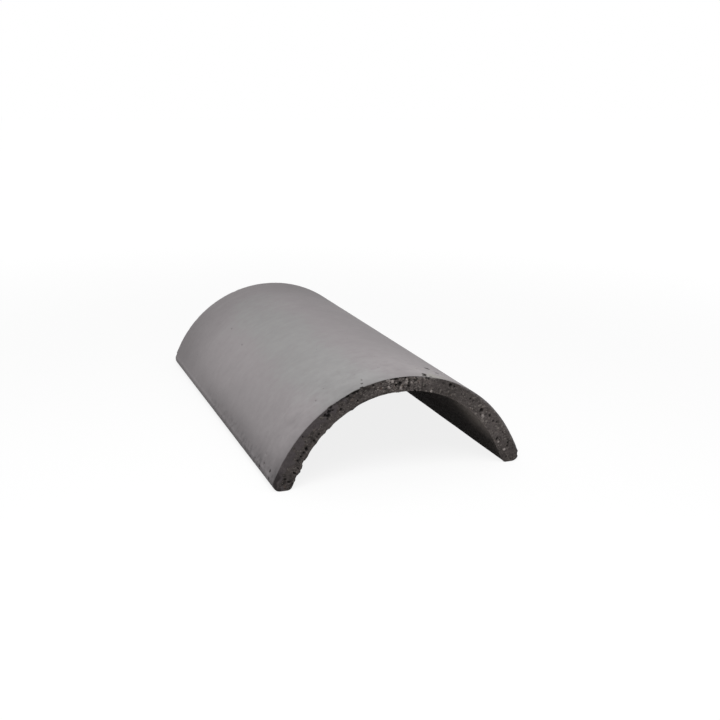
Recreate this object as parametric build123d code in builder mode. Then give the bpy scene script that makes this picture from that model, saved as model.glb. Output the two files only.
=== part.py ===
from build123d import *
import os
from math import acos, cos, pi, sin, tan

# Concrete ridge tile: a segmental arch of dense concrete, 18 inches long.
#
# The tile stands on its two feet as it would on a level floor. X runs across the ridge, Y along it,
# and Z up. The origin is midway between the feet, midway along the tile, at floor level. Lengths are
# in millimetres.

# Driving dimensions
length = 457.0
height = 102.0  # from the feet to the top of the crown
outer_radius = 137.5  # the weathered face
inner_radius = 113.4  # the bedding side, a tighter arc than the outer one
crown_thickness = 15.4
outer_skirt_height = 24.0  # below this the outer face runs straight to the foot
inner_skirt_height = 24.0  # below this the inner face runs straight to the foot
outer_toe_radius = 7.5
inner_toe_radius = 5.0
end_arris_radius = 0.8  # the slight rounding where the faces meet the ends

# The toes may round away at most this share of a foot's width, so that a flat is left to stand on
most_rounded = 0.8

# Both arcs are centred on the ridge line, below the floor
outer_centre = height - outer_radius
inner_centre = height - crown_thickness - inner_radius


def leg_angle(radius, centre, skirt_height):
    """Angle from the crown, in radians, at which an arc comes down to the skirt height."""
    return acos((skirt_height - centre) / radius)


def skirt_top(radius, centre, angle):
    """Point on the right-hand side where the arc ends and the straight skirt begins."""
    return radius * sin(angle), centre + radius * cos(angle)


def skirt_foot(radius, centre, angle):
    """Point on the right-hand side where the skirt, tangent to the arc, meets the floor."""
    x, z = skirt_top(radius, centre, angle)
    return x + z * cos(angle) / sin(angle), 0.0


def toe_setback(radius, corner):
    """How far from its corner a toe of this radius starts, where the faces meet at the corner angle."""
    return radius / tan(corner / 2)


outer_angle = leg_angle(outer_radius, outer_centre, outer_skirt_height)
inner_angle = leg_angle(inner_radius, inner_centre, inner_skirt_height)
outer_top = skirt_top(outer_radius, outer_centre, outer_angle)
inner_top = skirt_top(inner_radius, inner_centre, inner_angle)
outer_foot = skirt_foot(outer_radius, outer_centre, outer_angle)
inner_foot = skirt_foot(inner_radius, inner_centre, inner_angle)
outer_crown = (0.0, height)
inner_crown = (0.0, height - crown_thickness)

# On a foot that is thinner than the toes need, both toes shrink alike
foot_width = outer_foot[0] - inner_foot[0]
rounded_width = toe_setback(outer_toe_radius, outer_angle) + toe_setback(inner_toe_radius, pi - inner_angle)
toe_scale = min(1.0, most_rounded * foot_width / rounded_width)

with BuildPart() as ridge_tile:
    # The section, in the plane across the ridge at the front end
    with BuildSketch(Plane.XZ.offset(length / 2)) as section:
        with BuildLine():
            # Half of the outline, from the crown down the outer face and up the inner one
            RadiusArc(outer_crown, outer_top, outer_radius)
            Line(outer_top, outer_foot)
            Line(outer_foot, inner_foot)
            Line(inner_foot, inner_top)
            RadiusArc(inner_top, inner_crown, -inner_radius)
            mirror(about=Plane.YZ)
        make_face()
        # The lowest corners, sorted across the ridge, are the toes: the outer ones are first and last
        toes = section.vertices().group_by(Axis.Y)[0].sort_by(Axis.X)
        fillet([toes[0], toes[-1]], toe_scale * outer_toe_radius)
        toes = section.vertices().group_by(Axis.Y)[0].sort_by(Axis.X)
        fillet(toes[1:-1], toe_scale * inner_toe_radius)
    extrude(amount=-length)
    fillet(ridge_tile.faces().filter_by(Axis.Y).edges(), end_arris_radius)

ridge_tile.part.label = "ridge_tile"
os.makedirs("parts", exist_ok=True)
export_step(ridge_tile.part, "parts/ridge_tile.step")
print("volume, litres:", round(ridge_tile.part.volume / 1e6, 4))
print("size, mm:", ridge_tile.part.bounding_box().size)
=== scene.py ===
# %% [markdown]
# # A concrete ridge tile
#
# A ridge tile caps the top of a roof. This one is a shallow arch of dense concrete, pressed in a mould,
# cut to length and coated with a smooth grey slurry on its weathered face only. The cut ends and the
# underside stay bare, so they show sand, small stones and air holes.
#
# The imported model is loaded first, and everything else is measured from it. The tile stands on its
# feet on the level z = 0, its ridge runs along Y, and one Blender unit is one metre.

# %% Load the frame
from math import acos, cos, exp, pi, radians, sin, tan

import bmesh
import bpy
from mathutils import Matrix, Vector, noise


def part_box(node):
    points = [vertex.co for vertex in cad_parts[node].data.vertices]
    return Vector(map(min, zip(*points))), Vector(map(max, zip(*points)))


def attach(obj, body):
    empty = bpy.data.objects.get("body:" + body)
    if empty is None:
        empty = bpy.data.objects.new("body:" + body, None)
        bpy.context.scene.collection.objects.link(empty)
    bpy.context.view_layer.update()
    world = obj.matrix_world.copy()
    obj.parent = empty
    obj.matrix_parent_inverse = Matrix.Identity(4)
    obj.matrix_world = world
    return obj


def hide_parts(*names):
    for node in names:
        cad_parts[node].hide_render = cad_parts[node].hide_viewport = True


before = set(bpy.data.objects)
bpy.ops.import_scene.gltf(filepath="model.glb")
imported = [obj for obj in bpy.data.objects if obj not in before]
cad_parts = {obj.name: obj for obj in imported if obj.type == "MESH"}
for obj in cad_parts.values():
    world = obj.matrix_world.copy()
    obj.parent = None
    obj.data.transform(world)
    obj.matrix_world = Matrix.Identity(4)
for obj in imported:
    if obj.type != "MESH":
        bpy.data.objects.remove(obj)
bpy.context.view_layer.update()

mm = 0.001
low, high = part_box("ridge_tile")
length = high.y - low.y
half_length = length / 2
print("tile, mm:", [round(size / mm, 1) for size in high - low])

# %% [markdown]
# ## The camera
#
# The photograph was taken from the left of the near end, a little above the crown. Its place, its
# turn and its lens were found by fitting the tile's outline to the picture. Blender's lens is in
# millimetres on a 36 mm sensor, so a focal length in pixels turns into one by the picture's width.
# A camera looks down its own -Z axis. Three turns aim it: a roll about that axis, a pitch that
# lifts it from straight down, and a yaw about the vertical.

# %% Place the camera
picture_width = 720
focal_pixels = 1031.5
sensor_width = 36.0
yaw, pitch, roll = radians(21.511), radians(15.975), radians(1.155)
camera_place = Vector((-385.8, -1091.0, 387.7)) * mm

camera_data = bpy.data.cameras.new("camera")
camera_data.sensor_width = sensor_width
camera_data.lens = focal_pixels / picture_width * sensor_width
camera = bpy.data.objects.new("camera", camera_data)
turn = Matrix.Rotation(-yaw, 4, "Z") @ Matrix.Rotation(pi / 2 - pitch, 4, "X")
turn = turn @ Matrix.Rotation(roll, 4, "Z")
camera.matrix_world = Matrix.Translation(camera_place) @ turn
bpy.context.scene.collection.objects.link(camera)
bpy.context.scene.camera = camera
print("lens, mm:", round(camera_data.lens, 2))

# %% [markdown]
# ## The section
#
# The arch is thinner at the crown than at the legs, because its two faces are arcs about different
# centres. Below each arc a straight skirt runs on to a rounded toe. The spin operator draws all of
# this: given one vertex it pulls out a chain of edges, round a centre if it has an angle, or straight
# if it has only a run. Two such chains, one for each face, start at the crown and end on the flat
# of the foot.
#
# Each vertex also keeps three measures, in layers that the operators carry along: how far round the
# arch it is, and its depths below the outer face and above the inner one. The wear and the finish
# are placed by these later.

# %% Draw the two faces of one leg
outer_radius = 137.5 * mm
inner_radius = 113.4 * mm
crown_thickness = 15.4 * mm
skirt_height = 24.0 * mm
outer_toe_radius = 7.5 * mm
inner_toe_radius = 5.0 * mm


def carry_on(tile, end, steps, angle=0.0, centre=(0, 0, 0), run=Vector((0, 0, 0))):
    """Draws on from a vertex, round a centre or straight, and returns the new vertices in order."""
    before = len(tile.verts)
    bmesh.ops.spin(tile, geom=[end], cent=centre, axis=(0, 1, 0), dvec=run / steps, angle=angle, steps=steps)
    tile.verts.ensure_lookup_table()
    return tile.verts[before:]


def draw_face(tile, crown_height, radius, toe_radius, toe_side, steps):
    """The chain of one face, from the crown to the foot: an arc, a skirt and a toe."""
    centre = Vector((0, low.y, crown_height - radius))
    angle = acos((skirt_height - centre.z) / radius)
    corner = angle if toe_side < 0 else pi - angle
    skirt_length = skirt_height / sin(angle) - toe_radius / tan(corner / 2)
    chain = [tile.verts.new((0, low.y, crown_height))]
    chain += carry_on(tile, chain[-1], steps[0], angle, centre)
    chain += carry_on(tile, chain[-1], steps[1], run=Vector((cos(angle), 0, -sin(angle))) * skirt_length)
    toe_centre = chain[-1].co + toe_side * toe_radius * Vector((sin(angle), 0, cos(angle)))
    toe_turn = pi - angle if toe_side < 0 else -angle
    chain += carry_on(tile, chain[-1], steps[2], toe_turn, toe_centre)
    return chain


outer_steps = (116, 10, 14)  # edges in the arc, the skirt and the toe
inner_steps = (104, 26, 10)
tile = bmesh.new()
arch_layer = tile.verts.layers.float.new("arch")
below_layer = tile.verts.layers.float.new("below_outer")
above_layer = tile.verts.layers.float.new("above_inner")
outer_chain = draw_face(tile, high.z, outer_radius, outer_toe_radius, -1, outer_steps)
inner_chain = draw_face(tile, high.z - crown_thickness, inner_radius, inner_toe_radius, 1, inner_steps)
foot_edges = [round(chain[-1].co.x / mm, 1) for chain in (inner_chain, outer_chain)]
print("foot, mm from the ridge:", foot_edges)

# %% [markdown]
# The two chains have as many edges each, so bridging them gives one row of four-sided faces. Cutting
# the edges that cross the wall turns that row into a grid, fine enough to carry single grains of
# sand. The other leg is the mirror image, merged along the ridge line.

# %% Fill the wall and mirror it
wall_cuts = 13
merge_reach = 0.01 * mm

walked = 0.0
for outer, inner, previous in zip(outer_chain, inner_chain, outer_chain[:1] + outer_chain):
    walked += (outer.co - previous.co).length
    outer[arch_layer] = inner[arch_layer] = walked
    outer[above_layer] = inner[below_layer] = (outer.co - inner.co).length

drawn = tile.edges[:]
bmesh.ops.bridge_loops(tile, edges=drawn)
crossing = list(set(tile.edges) - set(drawn))
bmesh.ops.subdivide_edges(tile, edges=crossing, cuts=wall_cuts, use_grid_fill=True)
section = tile.verts[:] + tile.edges[:] + tile.faces[:]
bmesh.ops.mirror(tile, geom=section, axis="X", merge_dist=merge_reach)
for vert in tile.verts:
    if vert.co.x < 0:
        vert[arch_layer] *= -1
print("section:", len(tile.faces), "faces,", round(walked / mm, 1), "mm from the ridge to the foot")

# %% [markdown]
# ## The length
#
# The section is pushed along Y one row at a time by extruding its faces. Rows are short at the two
# ends, where the arrises crumble, and grow towards the middle, where the face is smooth. The first
# extrusion leaves the near end behind as the tile's front. After it the cap's edges go in as well,
# so that Blender takes the old cap away and leaves no walls inside. A Solidify or an Array modifier
# would be quicker to write, but neither lets each row have its own length.

# %% Extrude the rows
end_row = 1.33 * mm
end_rows = 5
growth = 1.22
longest_row = 10.5 * mm

rows = [end_row] * end_rows
while rows[-1] * growth < longest_row:
    rows.append(rows[-1] * growth)
middle = length - 2 * sum(rows)
middle_count = round(middle / longest_row)
rows = rows + [middle / middle_count] * middle_count + rows[::-1]

cap = tile.faces[:]
for row in rows:
    cap = bmesh.ops.extrude_face_region(tile, geom=cap)["geom"]
    moved = [part for part in cap if isinstance(part, bmesh.types.BMVert)]
    bmesh.ops.translate(tile, verts=moved, vec=(0, row, 0))
bmesh.ops.recalc_face_normals(tile, faces=tile.faces[:])
print("rows:", len(rows), "volume, litres:", round(tile.calc_volume() * 1000, 3))

# %% [markdown]
# ## Finer faces where the wear is
#
# The ends need faces of about two thirds of a millimetre, and so do the few pits in the weathered
# face. A mesh that fine all over would have millions of faces, so only these places get it. The pits
# are listed by their real places: how far round the arch from the ridge line, how far behind the
# front end, then their half width, half length and depth. Edges beside a pit are halved until they
# are short enough. The halving makes no dent by itself, so the surface stays true. Where fine faces
# meet coarse ones, a coarse face gets extra corners along its side. Poking such a face turns it into
# a fan of clean triangles.

# %% List the pits
from collections import namedtuple

Pit = namedtuple("Pit", "arch behind half_width half_long depth")


def to_metres(listed):
    """The same list with its sizes turned from millimetres into metres."""
    return {name: type(spot)(*(size * mm for size in spot)) for name, spot in listed.items()}


pits = {
    "first of the row": Pit(-43.8, 1.4, 2.6, 3.0, 1.3),
    "second of the row": Pit(-40.4, 10.0, 1.6, 2.3, 0.5),
    "third of the row": Pit(-37.3, 18.0, 1.4, 2.3, 0.4),
    "scab by the arris": Pit(23.6, 4.6, 3.2, 3.8, 1.1),
    "back of the scab": Pit(25.8, 10.2, 2.6, 3.6, 0.9),
    "beside the scab": Pit(29.5, 3.0, 1.6, 2.2, 0.8),
    "scratch": Pit(43.3, 39.5, 4.0, 3.6, 0.9),
    "right of the crown": Pit(48.8, 27.4, 2.6, 3.8, 0.55),
    "pinhole on the crown": Pit(-11.4, 37.8, 1.2, 2.4, 0.4),
    "pinhole behind the row": Pit(-64.5, 57.0, 0.9, 1.2, 0.4),
    "pinhole on the shoulder": Pit(-84.7, 29.3, 1.3, 1.9, 0.4),
    "pinhole on the left slope": Pit(-95.5, 272.0, 1.1, 1.6, 0.5),
    "pinhole far down the slope": Pit(-89.9, 336.2, 1.0, 1.8, 0.5),
    "pinhole behind the scab": Pit(26.0, 28.8, 1.0, 1.8, 0.4),
    "on the skirt": Pit(-156.5, 43.2, 1.4, 2.0, 0.25),
    "pinhole above the skirt": Pit(-145.0, 62.0, 1.0, 1.2, 0.4),
    "low on the skirt": Pit(-165.2, 19.0, 1.8, 2.5, 0.6),
    "lower on the skirt": Pit(-164.8, 39.8, 1.8, 2.5, 0.48),
    "on the toe": Pit(-171.5, 47.6, 1.6, 3.0, 0.6),
    "further on the toe": Pit(-169.2, 66.0, 1.4, 2.4, 0.5),
    "at the toe's end": Pit(-171.6, 15.6, 1.6, 2.0, 0.6),
    "back corner of the left toe": Pit(-174.0, 457.0, 9.0, 6.0, 2.2),
    "pinhole on the right slope": Pit(78.0, 141.0, 0.9, 1.3, 0.5),
    "pinhole on the right flank": Pit(121.0, 236.0, 1.1, 1.5, 0.6),
    "pinhole low on the right": Pit(152.0, 88.0, 0.9, 1.2, 0.5),
    "pinhole at the back": Pit(38.0, 333.0, 1.0, 1.4, 0.5),
}
pits = to_metres(pits)
print("pits:", len(pits))

# %% Halve the edges beside the pits and at the ends
fine_zone = (end_rows + 0.1) * end_row  # just past the last of the short rows
longest_cut = 0.9 * mm
pit_margin = 1.2 * mm
on_line = 0.001 * mm  # a vertex this close to a plane lies in it


def near_an_end(edge):
    """Whether an edge lies among the short rows of an end."""
    return all(half_length - abs(vert.co.y) < fine_zone for vert in edge.verts)


def beside(edge, pit):
    """Whether an edge of the weathered face runs close by a pit."""
    rounds = [vert[arch_layer] - pit.arch for vert in edge.verts]
    alongs = [vert.co.y + half_length - pit.behind for vert in edge.verts]
    reach, stretch = pit.half_width + pit_margin, pit.half_long + pit_margin
    close_round = min(rounds) < reach and max(rounds) > -reach
    return close_round and min(alongs) < stretch and max(alongs) > -stretch


def halve(tile, edges):
    """Cuts edges in two and returns the edges that are new."""
    made = bmesh.ops.subdivide_edges(tile, edges=edges, cuts=1, use_grid_fill=True)["geom"]
    return [part for part in made if isinstance(part, bmesh.types.BMEdge)]


halve(tile, [edge for edge in tile.edges if near_an_end(edge)])
close = [edge for edge in tile.edges if all(vert[below_layer] < on_line for vert in edge.verts)]
while close:
    close = [edge for edge in close if any(beside(edge, pit) for pit in pits.values())]
    cut = [edge for edge in close if edge.calc_length() > longest_cut]
    close = halve(tile, cut) if cut else []
sewn = [face for face in tile.faces if len(face.verts) > 4]
bmesh.ops.poke(tile, faces=sewn)
print("faces:", len(tile.faces), "triangles:", sum(len(face.verts) - 2 for face in tile.faces))

# %% [markdown]
# ## Worn arrises
#
# Cast concrete has no sharp edges. A bevel would give every arris the same even slope. Smoothing only
# the vertices of the cut edges draws them in by a few tenths of a millimetre instead, and the normals
# there come to lean both ways, so that later wear moves an arris diagonally into the stone. Each
# vertex first stores its distance from the end, because the measures are taken on the true shape.

# %% Ease the arrises
arris_reach = 0.1 * mm
arris_softness = 0.5

end_layer = tile.verts.layers.float.new("from_end")
for vert in tile.verts:
    vert[end_layer] = half_length - abs(vert.co.y)


def from_face(vert):
    """Distance in the section from the nearest of the outer face, the inner face and the foot."""
    return min(vert[below_layer], vert[above_layer], vert.co.z)


arris = [vert for vert in tile.verts if vert[end_layer] < arris_reach and from_face(vert) < arris_reach]
bmesh.ops.smooth_vert(
    tile, verts=arris, factor=arris_softness, use_axis_x=True, use_axis_y=True, use_axis_z=True
)
tile.normal_update()
print("arris vertices:", len(arris))

# %% [markdown]
# ## Sand, stones and air holes
#
# On a cut end the sand is a fine roughness, and small stones stand up from it as round backs.
# Fractal noise gives the first. Voronoi noise gives the second: each of its cells holds one stone
# with a radius of its own, round the cell's middle. Air holes are small spheres, so the same noise
# with wide cells places them, and the end's plane slices them into circles of many sizes. All of
# this only lowers the surface, so the tile never grows past the size that it has in the frame.

# %% Describe the sand, the stones and the holes
sand_size = 1.7 * mm
sand_layers = (0.7, 2.1, 3)  # how much each layer fades, how much finer it is, and how many there are
sand_gain, swell_gain = 0.8, 0.75  # noise seldom nears its limits, so it is drawn out
stone_spacing = 3.6 * mm
stone_radius, radius_spread = 0.3, 0.2  # shares of the spacing
hole_spacing = 8.0 * mm
largest_hole = 1.5 * mm
stone_seed, hole_seed = 9, 7


def clamp(value):
    """A value kept between 0 and 1."""
    return min(1.0, max(0.0, value))


def sand_depth(place):
    """How low the sand lies at a place, 0 to 1."""
    return clamp(0.5 + sand_gain * noise.fractal(place / sand_size, *sand_layers))


def stone_back(place):
    """How high a stone's back stands at a place, 0 to 1."""
    distances, middles = noise.voronoi(place / stone_spacing)
    radius = stone_radius + radius_spread * noise.cell(middles[0] * stone_seed)
    return max(0.0, 1 - (distances[0] / radius) ** 2)


def air_hole(place):
    """Depth of the sphere of air at a place, or nothing. Half of the cells hold one."""
    distances, middles = noise.voronoi(place / hole_spacing)
    radius = largest_hole * max(0.0, noise.cell(middles[0] * hole_seed))
    reach = distances[0] * hole_spacing
    return (radius * radius - reach * reach) ** 0.5 if reach < radius else 0.0


def swell(place, wavelength, seed):
    """A slow rise and fall between 0 and 1."""
    return clamp(0.5 + swell_gain * noise.noise(place / wavelength + Vector((seed, 0, 0))))


def fade(distance, reach):
    """1 at no distance, easing to 0 at the reach."""
    return max(0.0, 1 - distance / reach) ** 2


sample = [sand_depth(Vector((place * mm, 0, 0))) for place in range(-130, 131)]
print("sand: mean depth", round(sum(sample) / len(sample), 2), "lowest", round(max(sample), 2))

# %% [markdown]
# The front end is the one that the photograph shows. Its crown looks broken rather than cut, with
# bright stones and one deep hole, and its left leg has a smooth skin where slurry ran over the edge.
# The stones that fell out and those that show are listed by their places: how far round the arch,
# how far below the weathered face, half width and depth. A bright stone's depth is negative, since
# it stands proud of its surroundings. A crack, a groove and a step are longer than they are wide, so
# they have a half height as well. The back end has only what the noise gives.

# %% List what the front end shows
Spot = namedtuple("Spot", "arch below half_width depth")
lost_stones = {
    "crown": Spot(-4.0, 7.2, 2.4, 2.8),
    "crown, beside it": Spot(-8.2, 8.2, 1.6, 2.0),
    "crown, above it": Spot(-8.5, 1.6, 1.9, 1.6),
    "crown, at the arris": Spot(1.6, 1.8, 1.2, 1.4),
    "foot of the crack": Spot(6.2, 10.6, 1.4, 1.6),
    "left slope, first": Spot(-53.0, 1.4, 2.8, 2.2),
    "left slope, second": Spot(-49.0, 1.6, 2.2, 2.0),
    "left slope, third": Spot(-59.4, 1.8, 1.9, 1.8),
    "left slope, small": Spot(-32.3, 2.8, 1.3, 1.4),
    "left slope, inner": Spot(-51.9, 10.9, 1.3, 1.2),
    "left shoulder, middle": Spot(-71.0, 10.0, 1.6, 1.5),
    "left shoulder, arris": Spot(-79.4, 1.2, 2.3, 2.0),
    "left shoulder, under it": Spot(-79.0, 5.3, 1.2, 1.3),
    "left shoulder, deep": Spot(-85.2, 7.2, 2.8, 2.4),
    "left shoulder, arm": Spot(-82.8, 4.4, 2.1, 1.8),
    "left shoulder, outer": Spot(-88.0, 4.8, 1.8, 1.6),
    "left shoulder, below it": Spot(-87.6, 9.2, 1.3, 1.4),
    "left leg, groove top": Spot(-103.5, 14.6, 1.2, 1.2),
    "left leg, groove": Spot(-111.8, 15.9, 1.5, 1.4),
    "left leg, outer": Spot(-117.7, 3.4, 1.2, 1.0),
    "left leg, groove middle": Spot(-123.4, 14.2, 1.4, 1.4),
    "left leg, groove below": Spot(-128.0, 14.3, 1.3, 1.3),
    "left leg, groove end": Spot(-133.0, 14.0, 1.4, 1.4),
    "left leg, under the groove": Spot(-138.7, 13.6, 1.3, 1.2),
    "left leg, inner": Spot(-146.2, 17.5, 1.3, 1.2),
    "left foot, inner": Spot(-154.0, 16.3, 2.0, 1.8),
    "left foot": Spot(-167.6, 15.1, 1.8, 1.6),
    "left foot, beside it": Spot(-164.7, 10.3, 1.5, 1.4),
    "right slope, arris": Spot(26.5, 2.1, 1.6, 1.6),
    "right slope": Spot(52.6, 3.9, 2.2, 2.0),
    "right slope, beside it": Spot(57.5, 4.0, 1.3, 1.2),
    "right shoulder, upper": Spot(80.9, 8.0, 1.3, 1.2),
    "right shoulder, under it": Spot(85.0, 8.2, 1.2, 1.0),
    "right shoulder": Spot(100.3, 10.2, 2.4, 2.2),
    "right shoulder, lower": Spot(112.7, 8.0, 1.8, 1.6),
    "right leg, small": Spot(124.4, 7.0, 1.1, 1.2),
    "right leg, smaller": Spot(138.9, 7.0, 0.9, 1.2),
    "right leg": Spot(139.9, 15.8, 1.9, 1.8),
    "right foot, upper": Spot(154.1, 7.1, 1.3, 1.4),
    "right foot": Spot(158.0, 8.7, 1.4, 1.4),
}
bright_stones = {
    "left of the crown hole": Spot(-16.0, 2.2, 2.3, -0.3),
    "beside it": Spot(-12.1, 3.4, 1.9, -0.3),
    "at the crown": Spot(2.9, 3.6, 1.3, -0.2),
    "at the crown, lower": Spot(3.5, 6.0, 1.4, -0.2),
    "under the hole": Spot(-3.1, 11.9, 1.7, -0.2),
    "under the left one": Spot(-15.9, 8.4, 1.5, -0.2),
    "inner arris": Spot(32.3, 14.2, 1.6, -0.2),
    "right shoulder": Spot(105.3, 13.6, 2.0, -0.3),
    "right leg": Spot(144.5, 16.1, 1.5, -0.2),
    "right foot": Spot(159.9, 13.4, 1.7, -0.3),
}
Groove = namedtuple("Groove", "arch below half_width half_height depth")
grooves = {
    "crack in the crown": Groove(5.6, 6.2, 1.0, 5.6, 1.5),
    "groove down the left leg": Groove(-124.0, 14.6, 22.0, 1.5, 0.6),
    "step in the left shoulder": Groove(-68.0, 2.0, 9.0, 1.3, 0.7),
}
lost_stones, bright_stones, grooves = to_metres(lost_stones), to_metres(bright_stones), to_metres(grooves)
print("lost stones:", len(lost_stones), "bright stones:", len(bright_stones), "grooves:", len(grooves))

# %% Find the listed marks at a vertex
spot_grain, spot_raggedness = 1.7 * mm, 0.5
groove_bend, groove_bend_size = 1.2 * mm, 3.0 * mm
groove_gap_size, groove_gain, groove_seed = 3.4 * mm, 1.6, 8


def nearest_spot(vert, spots):
    """The strongest spot at a vertex: its strength, 0 to 1, and its depth."""
    best = (0.0, 0.0)
    ragged = 1 + spot_raggedness * noise.noise(vert.co / spot_grain)
    for spot in spots.values():
        across, down = vert[arch_layer] - spot.arch, vert[below_layer] - spot.below
        if max(abs(across), abs(down)) < 2 * spot.half_width:
            share = (across * across + down * down) ** 0.5 / spot.half_width * ragged
            best = max(best, (max(0.0, 1 - share * share), spot.depth))
    return best


def groove_share(vert, groove):
    """How much of a groove there is at a vertex, 0 to 1, broken up by noise."""
    bend = groove_bend * noise.noise(vert.co / groove_bend_size)
    across = (vert[arch_layer] - groove.arch + bend) / groove.half_width
    down = (vert[below_layer] - groove.below + bend) / groove.half_height
    gaps = min(1.0, groove_gain * swell(vert.co, groove_gap_size, groove_seed))
    return exp(-(across ** 4) - down ** 4) * gaps


widest = max(spot.half_width for spot in lost_stones.values())
print("widest lost stone, mm:", round(2 * widest / mm, 1))

# %% [markdown]
# ## Moving the surface
#
# Every vertex now gets one depth, and moves that far along its own normal into the stone. A
# displacement modifier could move them by a texture, but it knows nothing of faces and arrises. A
# cut end is rough all over. The weathered face is smooth but for a slow swell and its pits. The
# underside is in between, and its roughness fades out where the rows get too long to carry it, so
# the finish takes over there.
#
# Five small measures are stored for the finish: how far the coat is gone, how much painted shade a
# hollow gets, whether it is a bright stone, how broken the end is there, and how much slurry skin it has.

# %% Work out the depth on a cut end
bared_layer = tile.verts.layers.float.new("bared")
hollow_shade_layer = tile.verts.layers.float.new("hollow")
stone_layer = tile.verts.layers.float.new("stone")
broken_layer = tile.verts.layers.float.new("broken")
skin_layer = tile.verts.layers.float.new("skin")
broken_middle, broken_half, broken_back = -8.0 * mm, 24.0 * mm, 0.3
skin_edge, skin_depth, skin_fade = -62.0 * mm, 12.0 * mm, 3.0 * mm
skin_waves, skin_seed = 6.0 * mm, 2
lump_size, lump_seed = 7.0 * mm, 3
sand_relief, stone_relief, lump_relief = 0.45 * mm, 0.4 * mm, 0.45 * mm
end_level, least_depth = 0.2 * mm, 0.05 * mm
# Holes, grooves and low sand get painted shade; a hole or groove this deep is painted wholly dark.
fully_shaded_hole, fully_shaded_groove = 0.8 * mm, 1.5 * mm  # as deep as this, they look wholly dark
shaded_sand_level = 0.45  # sand that lies lower starts to look dark


def broken_share(vert):
    """How broken a cut end is: wholly at the front's crown, and a little all over the back."""
    if vert.co.y > 0:
        return broken_back
    return exp(-(((vert[arch_layer] - broken_middle) / broken_half) ** 4))


def skin_share(vert):
    """How much slurry skin there is: on the front's left leg, down to a ragged edge."""
    if vert.co.y > 0 or vert[arch_layer] >= skin_edge:
        return 0.0
    past = vert[below_layer] - skin_depth * swell(vert.co, skin_waves, skin_seed)
    return fade(max(0.0, past), skin_fade)


def end_depth(vert):
    """The depth of a place on a cut end, how much painted shade its hollow gets, and how much of a bright
    stone.
    """
    broken, skin = broken_share(vert), skin_share(vert)
    vert[broken_layer], vert[skin_layer] = broken, skin
    low_sand = sand_depth(vert.co)
    relief = sand_relief * low_sand - stone_relief * stone_back(vert.co)
    relief += lump_relief * swell(vert.co, lump_size, lump_seed)
    roughness = (0.6 + 0.9 * broken) * (1 - 0.8 * skin)
    hole = air_hole(vert.co) * (1 - skin)
    depth = max(least_depth, end_level + roughness * relief) + hole
    lost = shown = shown_depth = cut = 0.0
    if vert.co.y < 0:
        lost, lost_depth = nearest_spot(vert, lost_stones)
        shown, shown_depth = nearest_spot(vert, bright_stones)
        cuts = [groove_share(vert, groove) * groove.depth for groove in grooves.values()]
        depth += lost * lost_depth + sum(cuts)
        cut = max(cuts) / fully_shaded_groove
    depth = max(least_depth, depth * (1 - 0.6 * shown) + shown * shown_depth)
    # painted shade in air holes, lost stones, grooves and low sand
    hollow = hole / fully_shaded_hole + 1.4 * lost + 0.8 * cut
    hollow += max(0.0, low_sand - shaded_sand_level) * (0.25 + 1.1 * broken)
    return depth, min(1.0, hollow), min(1.0, 2 * shown)


print("broken part of the front, mm:", round(2 * broken_half / mm))

# %% [markdown]
# Both arrises crumble: a little everywhere, and more where a slow noise says so. On top of that come
# the worn stretches that the photograph shows, each with its place round the arch, its half length
# and its depth. Along the inner arris some grains stick out into the arch as burrs. They are listed
# by place and height, and are the only thing that moves outwards, into the open arch.

# %% Crumble the arrises
least_chip, worst_chip = 0.04 * mm, 0.7 * mm
chip_grain, chip_run, chip_onset = 2.2 * mm, 9.0 * mm, 0.55
outer_seed, inner_seed, run_seed, back_seed = 11, 17, 5, 40
arris_fade = 3.0 * mm
burr_half = 2.8 * mm
burr_grain, burr_seed = 1.9 * mm, 4

Wear = namedtuple("Wear", "arch half_long depth")
outer_wear = {
    "right toe": Wear(172.5, 2.0, 3.2),
    "right leg": Wear(131.0, 21.0, 0.8),
    "left foot": Wear(-158.0, 14.0, 0.5),
    "left slope": Wear(-52.0, 6.0, 0.8),
    "left shoulder": Wear(-80.0, 3.0, 0.9),
}
inner_wear = {
    "left of the crown": Wear(-36.0, 24.0, 0.7),
    "left leg": Wear(-136.0, 2.5, 1.1),
    "left foot": Wear(-158.0, 4.0, 0.8),
}
outer_wear, inner_wear = to_metres(outer_wear), to_metres(inner_wear)
burr_heights = {-149: 0.8, -143: 0.7, -129: 0.4, -112: 0.6, -98: 0.6, -90: 0.7, -59: 0.8, -5: 0.8}


def chipping(arch, seed):
    """How far an arris has crumbled at a place round the arch."""
    place = Vector((arch, 0, 0))
    fine = swell(place, chip_grain, seed)
    slow = max(0.0, swell(place, chip_run, seed + run_seed) - chip_onset) / (1 - chip_onset)
    return least_chip * (0.4 + 1.2 * fine) + worst_chip * slow * slow * (0.4 + 0.6 * fine)


def worn(arch, wear):
    """How far an arris is drawn in at a place by its worn stretches."""
    return max(part.depth * exp(-(((arch - part.arch) / part.half_long) ** 4)) for part in wear.values())


def arris_shares(vert):
    """How near a vertex of an arris's two faces is to the outer arris and to the inner one, 0 to 1."""
    edge, near_outer, near_inner = vert[end_layer], vert[below_layer], vert[above_layer]
    if edge < on_line:
        return fade(near_outer, arris_fade), fade(near_inner, arris_fade)
    share = fade(edge, arris_fade)
    return share * (near_outer < on_line), share * (near_inner < on_line)


def chip_depth(vert, outer_share, inner_share):
    """How far both arrises draw a vertex in."""
    arch, front = vert[arch_layer], vert.co.y < 0
    shift = 0 if front else back_seed
    outer_chip = chipping(arch, outer_seed + shift) + (worn(arch, outer_wear) if front else 0.0)
    inner_chip = chipping(arch, inner_seed + shift) + (worn(arch, inner_wear) if front else 0.0)
    return outer_share * outer_chip + inner_share * inner_chip


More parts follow.
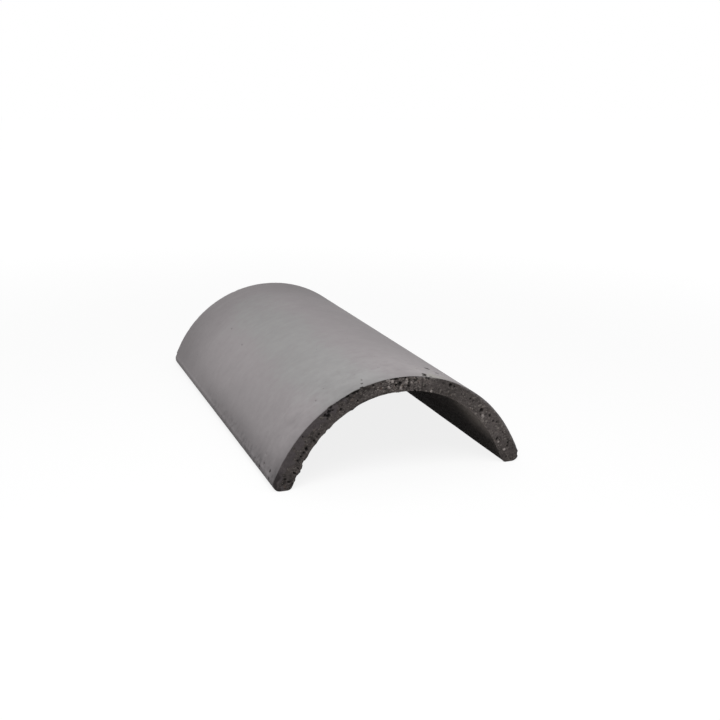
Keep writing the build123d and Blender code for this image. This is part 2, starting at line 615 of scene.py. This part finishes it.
def burr_move(vert):
    """The move of a vertex of the inner face by the front's burrs, out into the arch."""
    arch = vert[arch_layer] / mm
    burr = max(height * exp(-(((arch - at) * mm / burr_half) ** 2)) for at, height in burr_heights.items())
    burr *= mm * (0.65 + 0.7 * swell(vert.co, burr_grain, burr_seed))
    into_arch = Vector((vert.normal.x, 0, vert.normal.z)).normalized()
    return into_arch * burr * fade(vert[end_layer], arris_fade)


sample = [chipping(place * mm, outer_seed) / mm for place in range(-180, 181)]
print("outer arris, mm: mean", round(sum(sample) / len(sample), 2), "worst", round(max(sample), 2))

# %% Find the depth of the pits and of the smoother faces
pit_grain, pit_raggedness = 1.1 * mm, 0.4
bare_pit = 0.8 * mm  # a pit this deep goes through the coat
face_level, face_rise, face_wave, face_seed = 0.02 * mm, 0.12 * mm, 70 * mm, 9
under_level, under_rise, under_wave, under_seed = 0.1 * mm, 0.4 * mm, 45 * mm, 21
under_sand = 0.25 * mm
foot_rise, foot_wave, foot_seed = 0.12 * mm, 6 * mm, 31


def pit_depth(vert):
    """How deep the pits are at a vertex, and how far the coat is bared there."""
    depth = bared = 0.0
    for pit in pits.values():
        across = (vert[arch_layer] - pit.arch) / pit.half_width
        along = (vert.co.y + half_length - pit.behind) / pit.half_long
        if max(abs(across), abs(along)) < 1.5:  # no pit is ragged enough to reach past this
            ragged = 1 + pit_raggedness * noise.noise(vert.co / pit_grain)
            share = max(0.0, 1 - (across * across + along * along) * ragged)
            depth = max(depth, pit.depth * share ** 0.5)
            bared = max(bared, min(1.0, 2 * share) * min(1.0, pit.depth / bare_pit))
    return depth, bared


def underside_depth(vert):
    """The depth of a place on the inner face, rough near the ends and gently uneven elsewhere."""
    rough = under_sand * sand_depth(vert.co) * fade(vert[end_layer], fine_zone * 1.5)
    return under_level + under_rise * swell(vert.co, under_wave, under_seed) + rough


print("deepest pit, mm:", round(max(pit.depth for pit in pits.values()) / mm, 1))

# %% Move the vertices
full_chip = 0.5 * mm  # a chip this deep leaves no coat
calm_rim, calm_share = 1.2 * mm, 0.3  # the relief of an end is lower at its rim, so the arris holds
moves = []
for vert in tile.verts:
    on_end, on_outer = vert[end_layer] < on_line, vert[below_layer] < on_line
    on_inner = vert[above_layer] < on_line
    chip = chip_depth(vert, *arris_shares(vert))
    if on_end:
        depth, vert[hollow_shade_layer], vert[stone_layer] = end_depth(vert)
        depth *= min(1.0, calm_share + from_face(vert) / calm_rim)
        pit, bared = pit_depth(vert)
        under_pit = fade(vert[below_layer], arris_fade)
        depth += pit * under_pit
        # painted shade in a pit at the arris
        vert[hollow_shade_layer] = max(vert[hollow_shade_layer], bared * under_pit)
    elif on_outer:
        depth, vert[bared_layer] = pit_depth(vert)
        # painted shade in a pit, as far as it bares the coat
        vert[hollow_shade_layer] = vert[bared_layer]
        depth += face_level + face_rise * swell(vert.co, face_wave, face_seed)
    elif on_inner:
        depth = underside_depth(vert)
    else:
        depth = foot_rise * swell(vert.co, foot_wave, foot_seed)
    if on_outer:
        vert[bared_layer] = max(vert[bared_layer], min(1.0, chip / full_chip))
    move = -vert.normal * (depth + chip)
    if on_inner and vert.co.y < 0:
        move += burr_move(vert)
    moves.append(move)
for vert, move in zip(tile.verts, moves):
    vert.co += move
tile.normal_update()
print("deepest move, mm:", round(max(move.length for move in moves) / mm, 2))

# %% [markdown]
# ## The finished piece
#
# The mesh goes into an object that stays at the origin, because its place is in its vertices. It
# rides on the frame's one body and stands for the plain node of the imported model. Smooth shading
# suits it all: the roughness is in the mesh.

# %% Make the object
mesh = bpy.data.meshes.new("cast_ridge_tile")
tile.to_mesh(mesh)
tile.free()
mesh.shade_smooth()
cast_tile = bpy.data.objects.new("cast_ridge_tile", mesh)
bpy.context.scene.collection.objects.link(cast_tile)
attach(cast_tile, "root")
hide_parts("ridge_tile")
print("triangles:", sum(len(polygon.vertices) - 2 for polygon in mesh.polygons))

# %% [markdown]
# ## Writing shader maths as sums
#
# A finish is a small program of nodes, and most of them are sums. The class below wraps a node's
# output, so that `1 - mask` or `depth * 2` adds the Math node by itself. Every other node comes from
# one method, which takes the node's type, its settings and what goes into its sockets.

# %% A finish and its signals
class Signal:
    """The output of a node. Arithmetic on it adds Math nodes."""

    def __init__(self, finish, socket):
        self.finish, self.socket = finish, socket

    def math(self, operation, first, second):
        return self.finish.node("ShaderNodeMath", {"operation": operation}, {0: first, 1: second})

    def __add__(self, other):
        return self.math("ADD", self, other)

    def __sub__(self, other):
        return self.math("SUBTRACT", self, other)

    def __rsub__(self, other):
        return self.math("SUBTRACT", other, self)

    def __mul__(self, other):
        return self.math("MULTIPLY", self, other)

    def __abs__(self):
        return self.math("ABSOLUTE", self, 0.0)

    __radd__, __rmul__ = __add__, __mul__


class Finish:
    """The nodes of a material or a world, added one by one."""

    def __init__(self, owner):
        owner.use_nodes = True
        self.owner, self.tree = owner, owner.node_tree
        self.tree.nodes.clear()

    def node(self, kind, settings, sockets, output=0):
        """Adds a node of a kind, with its settings and sockets, and returns one of its outputs."""
        made = self.tree.nodes.new(kind)
        for name, value in settings.items():
            setattr(made, name, value)
        for name, value in sockets.items():
            socket = made.inputs[name]
            if isinstance(value, Signal):
                self.tree.links.new(value.socket, socket)
            else:
                socket.default_value = value[:3] if socket.type == "VECTOR" else value
        return Signal(self, made.outputs[output]) if made.outputs else None

    def measure(self, name):
        """A measure that the mesh stores at its vertices."""
        return self.node("ShaderNodeAttribute", {"attribute_name": name}, {}, "Fac")

    def ease(self, value, start, stop):
        """0 up to the start, 1 from the stop on, and smooth between them. Start may be the greater."""
        sockets = {"Value": value, "From Min": start, "From Max": stop}
        return self.node("ShaderNodeMapRange", {"interpolation_type": "SMOOTHSTEP"}, sockets)

    def mix(self, first, second, share):
        """A colour between two colours."""
        return self.node("ShaderNodeMix", {"data_type": "RGBA"}, {0: share, 6: first, 7: second}, 2)

    def shade(self, colour, factor):
        """A colour made lighter or darker."""
        return self.node("ShaderNodeVectorMath", {"operation": "SCALE"}, {0: colour, "Scale": factor})

    def clouds(self, place, size, detail, roughness=0.5):
        """Soft noise whose features are about this size."""
        sockets = {"Vector": place, "Scale": 1 / size, "Detail": detail, "Roughness": roughness}
        return self.node("ShaderNodeTexNoise", {}, sockets)

    def cells(self, place, size, output):
        """Cells of about this size: the distance to their middle, or their own random colour."""
        return self.node("ShaderNodeTexVoronoi", {}, {"Vector": place, "Scale": 1 / size}, output)

    def channel(self, colour, index):
        """One of a colour's three numbers."""
        return self.node("ShaderNodeSeparateColor", {}, {0: colour}, index)

    def along(self, place):
        """How far along the tile a place is."""
        return self.node("ShaderNodeSeparateXYZ", {}, {0: place}, "Y")

    def hill(self, value, middle, half):
        """1 at a middle, smoothly down to 0 at half a width from it."""
        return self.ease(abs(value - middle), half, 0.0)

    def stretch(self, place, factors):
        """The place with each axis scaled, so that a pattern on it comes out longer or shorter."""
        return self.node("ShaderNodeVectorMath", {"operation": "MULTIPLY"}, {0: place, 1: factors})


print("finishes are ready to be mixed")

# %% [markdown]
# ## The slurry coat
#
# The weathered face was coated with a cement slurry and came out even, matt and mid grey. Up close it
# is slightly cloudy, between a warm grey and a cool one, with faint runs down the slopes and tiny
# pinholes. Dirt darkens its near end and smudges its toes, and the right of the crown is darker behind
# the front. Painted shade darkens its far end, its lower skirts and a little of the crown towards the
# back. It is paler where it is rubbed, painted light brightens a pool on the left flank, and a painted
# highlight runs along the front arris by the rubbed place. A painted image could hold all this, but
# would be fixed to one size, so each mark is a smooth hill or slope over the measures of the mesh. The
# function for this finish returns a colour, a roughness and a height in millimetres.

# %% Mark the coat's dirt, its painted shade and light, and its pale places
# Painted shade darkens the far end, the crown and the toes; the smudges, the front and the edge are dirt.
far_end_painted_shade, toe_painted_shade, crown_painted_shade, smudge_grime = 0.14, 0.30, 0.04, 0.20
front_grime, right_darkening, edge_grime = 0.11, 0.10, 0.14
# The pale pool on the left flank is painted light, and the rim is a painted highlight.
left_light_pool_gain, toe_line_gain, scuff_gain, arris_highlight_gain = 0.13, 0.12, 0.10, 0.40


def coat_dirt_and_shade(finish, place, arch, along):
    """How much dirt and painted shade darken the coat, 0 to 1."""
    leg = abs(arch)
    # painted shade on the lower skirts, more towards the front; the smudges below are dirt
    toe = finish.ease(leg, 140 * mm, 172 * mm) * finish.ease(along, 210 * mm, -60 * mm)
    smudge = finish.ease(finish.clouds(place, 7 * mm, 5, 0.6), 0.46, 0.66)
    smudge = smudge * finish.ease(leg, 154 * mm, 165 * mm)
    # painted shade: the coat darker towards the far end
    back = finish.ease(along, 100 * mm, 210 * mm)
    front = finish.ease(along, -206 * mm, -228 * mm) * (finish.ease(leg, 110 * mm, 160 * mm) + 1)
    # painted shade: the crown darker towards the back
    crown = finish.hill(arch, 15 * mm, 100 * mm) * finish.ease(along, -150 * mm, 20 * mm)
    edge = finish.ease(along, -225.5 * mm, -228.5 * mm) * (1 - finish.hill(arch, 15 * mm, 50 * mm))
    # darker to the right of the crown, behind the front
    right = finish.ease(arch, -45 * mm, 30 * mm) * finish.ease(along, -200 * mm, -90 * mm)
    # the sum holds dirt and the painted shade of the far end, the crown and the toes
    dirt_and_shade = back * far_end_painted_shade + crown * crown_painted_shade + toe * (smudge * smudge_grime + toe_painted_shade)
    return dirt_and_shade + front * front_grime + right * right_darkening + edge * edge_grime


def coat_pale(finish, arch, along, scuff):
    """How much paler the coat is: a painted pool of light, a line along the toes, a scuff and a painted
    highlight by it.
    """
    # painted light: a pale pool on the left flank
    left_light_pool = finish.hill(arch, -125 * mm, 85 * mm) * finish.hill(along, 45 * mm, 190 * mm)
    toe_line = finish.hill(abs(arch), 168.5 * mm, 2.5 * mm)
    # painted highlight along the front arris, right of the crown
    rim = finish.hill(arch, 30 * mm, 24 * mm) * finish.hill(along, -229 * mm, 3.5 * mm)
    return left_light_pool * left_light_pool_gain + toe_line * toe_line_gain + scuff * scuff_gain + rim * arris_highlight_gain


def dots(finish, place, size, reach, channel, chance):
    """A dot in some cells of a size, picked by one channel of the cells' random colours."""
    near_middle = finish.ease(finish.cells(place, size, "Distance"), *reach)
    picked = finish.channel(finish.cells(place, size, "Color"), channel)
    return near_middle * finish.ease(picked, *chance)


print("darkest at the toes, by", toe_painted_shade + smudge_grime)

# %% Mix the slurry coat
warm_grey = (0.350, 0.326, 0.333, 1)
cool_grey = (0.336, 0.329, 0.329, 1)
pinhole_grey = (0.11, 0.10, 0.10, 1)
buff_grey = (0.362, 0.352, 0.318, 1)
speck_brown = (0.17, 0.14, 0.13, 1)
coat_level, coat_roughness_level = 0.95, 0.62


def slurry_coat(finish, place, arch):
    """The even grey coat of the weathered face."""
    along = finish.along(place)
    near = finish.ease(along, -110 * mm, -215 * mm)
    mottle = finish.clouds(place, 9 * mm, 5, 0.62) - 0.5
    blotch = finish.clouds(place, 32 * mm, 3, 0.55) - 0.5
    grain = finish.clouds(place, 1.1 * mm, 3, 0.6)
    run_place = finish.node("ShaderNodeCombineXYZ", {}, {0: arch, 1: along * 14})
    runs = finish.clouds(run_place, 90 * mm, 2)
    pinhole = dots(finish, place, 13 * mm, (0.045, 0.02), 0, (0.72, 0.78))
    speck = dots(finish, place, 8 * mm, (0.14, 0.05), 1, (0.70, 0.95))
    scuff = finish.hill(arch, 36 * mm, 26 * mm) * finish.hill(along, -228 * mm, 48 * mm)
    buff = scuff * finish.ease(finish.clouds(place, 12 * mm, 3), 0.35, 0.6)
    cool_band = finish.hill(arch, -54 * mm, 64 * mm) * finish.ease(along, 215 * mm, 60 * mm)
    cloudy = finish.clouds(place, 100 * mm, 2) * 0.5 + cool_band * 0.55 + mottle * 0.6 + blotch * 0.35
    cloud = mottle * (near * 0.22 + 0.20) + blotch * (near * 0.14 + 0.15)
    lightness = coat_level + cloud + runs * 0.06 + grain * 0.04 + coat_pale(finish, arch, along, scuff)
    lightness = lightness * (1 - coat_dirt_and_shade(finish, place, arch, along))
    colour = finish.mix(warm_grey, cool_grey, finish.ease(cloudy, 0.30, 0.72))
    colour = finish.shade(finish.mix(colour, buff_grey, buff * 0.7), lightness)
    colour = finish.mix(colour, pinhole_grey, pinhole * 0.8)
    colour = finish.mix(colour, speck_brown, speck * (near * 0.25 + 0.12))
    roughness = coat_roughness_level + mottle * 0.12
    height = mottle * 0.12 + grain * 0.035 - pinhole * 0.4
    return colour, roughness, height


print("coat:", warm_grey[:3], "to", cool_grey[:3])

# %% [markdown]
# ## Bare concrete
#
# Where the coat ends, the mix shows: dark cement with sand in it, from nearly black to pale, some of
# it brown, and small pores. One noise through a colour ramp would only look like camouflage, because
# sand has edges. So the grains come in three sizes, and each size is a pattern of cells with one
# grain in each: round its middle, with a radius and a tone of its own. The place is bent by a little
# noise first, so that no grain is a perfect circle.

# %% Mix the bare concrete
cement = (0.110, 0.096, 0.092, 1)
pale_sand = (0.29, 0.26, 0.24, 1)
dark_sand = (0.040, 0.036, 0.034, 1)
brown_sand = (0.15, 0.112, 0.098, 1)
bright_stone = (0.48, 0.43, 0.41, 1)
# the colour of painted shade in holes, pits, cracks and pores
painted_hollow_shade = (0.012, 0.011, 0.011, 1)
smooth_skin = (0.103, 0.090, 0.094, 1)
grain_sizes = (4.4 * mm, 2.3 * mm, 1.2 * mm)
grain_edge = 0.07
bare_roughness = 0.9


def bend(finish, place, size, reach):
    """The place moved about by noise of this size."""
    sockets = {"Vector": place, "Scale": 1 / size, "Detail": 2}
    stir = finish.node("ShaderNodeTexNoise", {}, sockets, "Color")
    stir = finish.node("ShaderNodeVectorMath", {"operation": "SUBTRACT"}, {0: stir, 1: (0.5, 0.5, 0.5)})
    sum_of = {0: place, 1: finish.shade(stir, reach)}
    return finish.node("ShaderNodeVectorMath", {"operation": "ADD"}, sum_of)


def grains(finish, place, size):
    """Where the grains of a size are, how pale each one is, and which are brown."""
    own = finish.cells(place, size, "Color")
    radius, tone, kind = [finish.channel(own, index) for index in range(3)]
    radius = radius * 0.36 + 0.12
    middle = finish.cells(place, size, "Distance")
    inside = finish.ease(middle, radius + grain_edge, radius - grain_edge)
    return inside, tone * tone, finish.ease(kind, 0.88, 0.90)


def bare_concrete(finish, place, contrast):
    """Sand of three sizes in cement, with small pores darkened by painted shade. Returns a colour and a
    height.
    """
    bent = bend(finish, place, 1.4 * mm, 2.0 * mm)
    paste = finish.clouds(place, 0.9 * mm, 3, 0.7) - 0.5
    dust = finish.clouds(place, 5 * mm, 4, 0.65) - 0.5
    colour = finish.shade(cement, 1 + contrast * (paste * 1.4 + dust * 0.7))
    height = paste * 0.15 + dust * 0.2
    for size in grain_sizes:
        inside, tone, brown = grains(finish, bent, size)
        sand = finish.mix(finish.mix(dark_sand, pale_sand, tone), brown_sand, brown * 0.7)
        colour = finish.mix(colour, sand, inside * contrast * 0.75)
        height = height + inside * (0.06 * size / mm)
    pore = finish.ease(finish.cells(bent, 3.1 * mm, "Distance"), 0.15, 0.09) * contrast
    # painted shade in the pores
    colour = finish.mix(colour, painted_hollow_shade, pore * 0.6)
    return colour, height - pore * 0.2


print("sizes of the sand, mm:", [round(size / mm, 1) for size in grain_sizes])

# %% [markdown]
# ## Both finishes on one tile
#
# Two materials on one mesh would meet along its straight edges. One material that is mixed by the
# measures of the mesh can have a ragged boundary instead. The coat covers what lies on the outer
# face, laps over the arris by a ragged half to one and a half millimetres, and is gone wherever the
# face is chipped. The underside is the same bare concrete with fine drag marks along the tile. Painted
# shade darkens it inside the arch, near the crown and low by the feet, and painted light brightens it
# near its ends, where light falls in.

# %% Read the measures and lap the coat
coat_lap, crown_lap, right_lap = 0.9 * mm, 1.8 * mm, 1.8 * mm

concrete = Finish(bpy.data.materials.new("cast_concrete"))
place = concrete.node("ShaderNodeTexCoord", {}, {}, "Object")
along = concrete.along(place)
arch = concrete.measure("arch")
leg = abs(arch)
below = concrete.measure("below_outer")
from_end = concrete.measure("from_end")
broken = concrete.measure("broken")
skin = concrete.measure("skin")

ragged = concrete.clouds(place, 1.6 * mm, 3)
lap = concrete.ease(arch, 50 * mm, 80 * mm) * right_lap + concrete.hill(arch, 21 * mm, 26 * mm) * crown_lap
coated = concrete.ease(below, (lap + coat_lap) * (ragged * 1.6 + 0.2), 0.0)
coated = coated * (1 - concrete.ease(concrete.measure("bared") + (ragged - 0.5) * 0.3, 0.15, 0.85))
coat_colour, coat_roughness, coat_height = slurry_coat(concrete, place, arch)
print("nodes so far:", len(concrete.tree.nodes))

# %% Tone the bare concrete
bare_level = 0.93
broken_gain, right_gain, right_foot_loss, shoulder_loss = 0.48, 0.36, 0.34, 0.26

bare_colour, bare_height = bare_concrete(concrete, place, 0.85 + broken * 0.85)
fibres = concrete.clouds(concrete.stretch(place, (1, 1, 0.05)), 2.6 * mm, 2) - 0.5
streaked = concrete.hill(arch, 19 * mm, 17 * mm) * (1 - concrete.ease(along, -200 * mm, -150 * mm))
streaks = streaked * (fibres * 3.4 + concrete.ease(below, 9 * mm, 3 * mm) * 0.5 + 0.25)
shoulder = concrete.hill(arch, -52 * mm, 60 * mm) * concrete.ease(below, 10 * mm, 3 * mm)
lighter = broken * broken_gain + streaks - shoulder * shoulder_loss
lighter = lighter + concrete.ease(arch, 58 * mm, 112 * mm) * right_gain
lighter = lighter - concrete.ease(arch, 134 * mm, 166 * mm) * right_foot_loss
foot_stain = concrete.ease(concrete.clouds(place, 5 * mm, 3), 0.45, 0.6) * 0.45 + 0.08
foot_stain = foot_stain * concrete.ease(arch, -152 * mm, -166 * mm)
bare_colour = concrete.shade(bare_colour, (bare_level + lighter) * (1 - foot_stain))
skin_clouds = concrete.clouds(place, 4 * mm, 4, 0.65)
skin_colour = concrete.shade(smooth_skin, (skin_clouds * 0.6 + 0.72) * (1 - foot_stain))
bare_colour = concrete.mix(bare_colour, skin_colour, skin * 0.75)
bare_height = bare_height * (1 - skin * 0.8)
print("nodes so far:", len(concrete.tree.nodes))

# %% Paint shade and light on the underside
# painted light: a pale tint on the underside near its ends, where light falls in
painted_end_light = (0.50, 0.443, 0.406, 1)
painted_end_light_strength = 0.88
# painted shade on the underside: deeper inside, low by the feet and towards the crown
inner_painted_shade, low_painted_shade, crown_underside_shade = 0.33, 0.45, 0.45

under = concrete.ease(concrete.measure("above_inner"), 0.3 * mm, 0.1 * mm)
drag = concrete.clouds(concrete.stretch(place, (1, 0.03, 1)), 3 * mm, 3, 0.6)
inside = concrete.ease(from_end, 2 * mm, 92 * mm)
# painted light near the ends of the underside
end_light_share = (1 - inside) * concrete.ease(leg, 146 * mm, 108 * mm) * concrete.ease(leg, 50 * mm, 86 * mm)
low_down = concrete.ease(leg, 128 * mm, 150 * mm) * concrete.ease(from_end, 0.0, 12 * mm)
# painted shade darkens the underside overall and more inside the arch; only the drag marks are its own tone
shaded = (1 - inside * inner_painted_shade) * (1 - low_down * low_painted_shade)
shaded = shaded * (1 - concrete.ease(leg, 82 * mm, 40 * mm) * crown_underside_shade) * (0.6 + drag * 0.3)
bare_colour = concrete.shade(bare_colour, 1 - under * (1 - shaded))
# the underside takes the painted light near its ends
bare_colour = concrete.mix(bare_colour, painted_end_light, under * end_light_share * painted_end_light_strength)
bare_height = bare_height + under * drag * 0.12
bare_colour = concrete.mix(bare_colour, bright_stone, concrete.measure("stone") * 0.8)
# painted shade in the holes, pits, cracks and low sand
bare_colour = concrete.mix(bare_colour, painted_hollow_shade, concrete.measure("hollow") * 0.85)
print("nodes so far:", len(concrete.tree.nodes))

# %% Join the finishes
shine = 0.06  # dry concrete has next to none

colour = concrete.mix(bare_colour, coat_colour, coated)
roughness = bare_roughness + coated * (coat_roughness - bare_roughness)
height = bare_height + coated * (coat_height - bare_height)
relief = {"Strength": 1.0, "Distance": 1 * mm, "Height": height}
normal = concrete.node("ShaderNodeBump", {}, relief, "Normal")
surface = {"Base Color": colour, "Roughness": roughness, "Normal": normal, "Specular IOR Level": shine}
shader = concrete.node("ShaderNodeBsdfPrincipled", {}, surface)
concrete.node("ShaderNodeOutputMaterial", {}, {"Surface": shader})
cast_tile.data.materials.append(concrete.owner)
print("nodes in the finish:", len(concrete.tree.nodes))

# %% [markdown]
# ## Floor, sky and lamp
#
# The tile stands on a plain pale floor under an even white sky, with one large soft lamp above the
# near end. Sky and lamp together light a level surface so that a colour renders about as it is
# written. Only rays that come straight from the camera, or through a shiny or clear surface, see the
# floor and the sky as white: the light that the floor throws back on the tile stays modest. The
# floor keeps the tile's shadow, as some of its white is diffuse.

# %% Make the floor and the sky
floor_size = 12.0
floor_grey = (0.2, 0.2, 0.2, 1)
floor_white = (1, 1, 1, 1)
dull_share = 0.17
near_glow, far_glow = 0.845, 0.915
near_reach, far_reach = 0.35, 1.4
sky_light = 0.52


def seen_directly(finish):
    """1 for rays from the camera and for those that a shiny or clear surface sends on."""
    kinds = ("Is Camera Ray", "Is Glossy Ray", "Is Transmission Ray")
    straight, glossy, clear = [finish.node("ShaderNodeLightPath", {}, {}, kind) for kind in kinds]
    return finish.ease(straight + glossy + clear, 0.0, 1.0)


paving = Finish(bpy.data.materials.new("floor"))
dull = paving.node("ShaderNodeBsdfDiffuse", {}, {"Color": floor_grey})
floor_place = paving.node("ShaderNodeTexCoord", {}, {}, "Object")
away = paving.node("ShaderNodeVectorMath", {"operation": "LENGTH"}, {0: floor_place}, "Value")
glow = near_glow + paving.ease(away, near_reach, far_reach) * (far_glow - near_glow)
shining = paving.node("ShaderNodeEmission", {}, {"Color": floor_white, "Strength": glow})
white = paving.node("ShaderNodeBsdfDiffuse", {}, {"Color": (dull_share, dull_share, dull_share, 1)})
pale = paving.node("ShaderNodeAddShader", {}, {0: shining, 1: white})
both = paving.node("ShaderNodeMixShader", {}, {0: seen_directly(paving), 1: dull, 2: pale})
paving.node("ShaderNodeOutputMaterial", {}, {"Surface": both})

ground = bmesh.new()
bmesh.ops.create_grid(ground, x_segments=1, y_segments=1, size=floor_size / 2)
floor_mesh = bpy.data.meshes.new("floor")
ground.to_mesh(floor_mesh)
ground.free()
floor_mesh.materials.append(paving.owner)
floor = bpy.data.objects.new("floor", floor_mesh)
bpy.context.scene.collection.objects.link(floor)

sky = Finish(bpy.data.worlds.new("sky"))
strength = sky_light + seen_directly(sky) * (1 - sky_light)
background = sky.node("ShaderNodeBackground", {}, {"Color": (1, 1, 1, 1), "Strength": strength})
sky.node("ShaderNodeOutputWorld", {}, {"Surface": background})
bpy.context.scene.world = sky.owner
print("floor, m:", floor_size)

# %% Hang the lamp
lamp_place = Vector((-0.22, -0.64, 0.96))
lamp_aim = Vector((0, -0.05, 0.06))
lamp_size = 0.6
lamp_power = 5.9

lamp_data = bpy.data.lights.new("soft_lamp", "AREA")
lamp_data.size = lamp_size
lamp_data.energy = lamp_power
lamp = bpy.data.objects.new("soft_lamp", lamp_data)
aim = (lamp_aim - lamp_place).to_track_quat("-Z", "Y")
lamp.matrix_world = Matrix.Translation(lamp_place) @ aim.to_matrix().to_4x4()
bpy.context.scene.collection.objects.link(lamp)
bpy.context.scene.view_settings.view_transform = "Standard"
print("lamp, m from the tile:", round((lamp_place - lamp_aim).length, 2))
